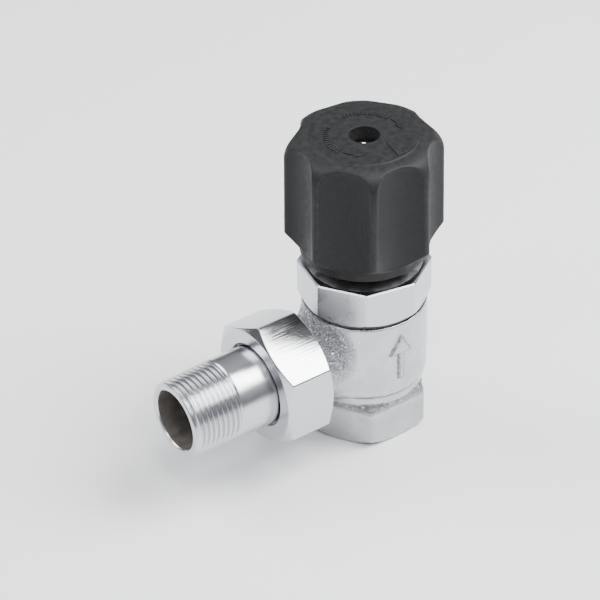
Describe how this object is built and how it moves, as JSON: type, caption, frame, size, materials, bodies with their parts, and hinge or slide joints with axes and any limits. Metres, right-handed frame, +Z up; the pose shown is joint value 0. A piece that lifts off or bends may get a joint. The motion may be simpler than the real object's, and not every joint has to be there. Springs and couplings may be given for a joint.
{
  "type": "needle valve",
  "caption": "Angle-pattern needle valve with an octagonal bonnet, a fluted handwheel on a rising stem, and a union nut holding a threaded tailpiece.",
  "frame": {"origin": "centre of the inlet face, on the stem axis", "axes": "+Z up along the stem, away from the inlet; -X along the outlet, towards the tailpiece's free end"},
  "size_m": [0.0997, 0.0498, 0.1088],
  "materials": {
    "cast_plate": "chrome plate over a slightly rough casting",
    "polished_plate": "bright chrome plate over turned brass",
    "brass": "turned, unplated",
    "dark_brass": "turned, darkened by oxide",
    "stainless": "turned stainless steel",
    "zinc_steel": "bright zinc plate",
    "black_plastic": "fine-textured moulding, matte black",
    "seal_rubber": "moulded rubber",
    "fibre": "pressed fibre sheet",
    "packing": "fluoroplastic packing"
  },
  "bodies": {
    "valve_body": {"body": "cast_plate", "seat_ring": "brass", "bonnet_gasket": "fibre", "bonnet": "polished_plate", "packing_washer": "brass", "packing_rings": "packing", "gland_follower": "brass", "gland_nut": "dark_brass", "dust_ring": "seal_rubber"},
    "plug": {"disc_holder": "brass", "swivel_clip": "stainless", "seal_disc": "seal_rubber", "disc_washer": "stainless", "needle": "stainless"},
    "stem_and_handwheel": {"stem": "stainless", "handwheel": "black_plastic", "handwheel_insert": "brass", "flat_washer": "zinc_steel", "spring_washer": "zinc_steel", "handwheel_screw": "zinc_steel"},
    "tail": {"tailpiece": "polished_plate", "union_seal": "fibre"},
    "nut": {"union_nut": "polished_plate"}
  },
  "joints": [
    {"name": "plug_lift", "type": "slide", "parent": "valve_body", "child": "plug", "axis": [0, 0, 1], "range_m": [-0.0046, 0]},
    {"name": "stem_turn", "type": "hinge", "parent": "plug", "child": "stem_and_handwheel", "pos_m": [0, 0, 0.05], "axis": [0, 0, 1], "range_deg": [-810, 0]},
    {"name": "tail_slide", "type": "slide", "parent": "valve_body", "child": "tail", "axis": [-1, 0, 0], "range_m": [0, 0.0081]},
    {"name": "nut_turn", "type": "hinge", "parent": "tail", "child": "nut", "pos_m": [-0.035, 0, 0.0304], "axis": [-1, 0, 0], "range_deg": [0, 1260]}
  ],
  "couplings": [
    {"joint": "plug_lift", "follows": "stem_turn", "m_per_rad": 0.00031831},
    {"joint": "tail_slide", "follows": "nut_turn", "m_per_rad": 0.00036749}
  ]
}
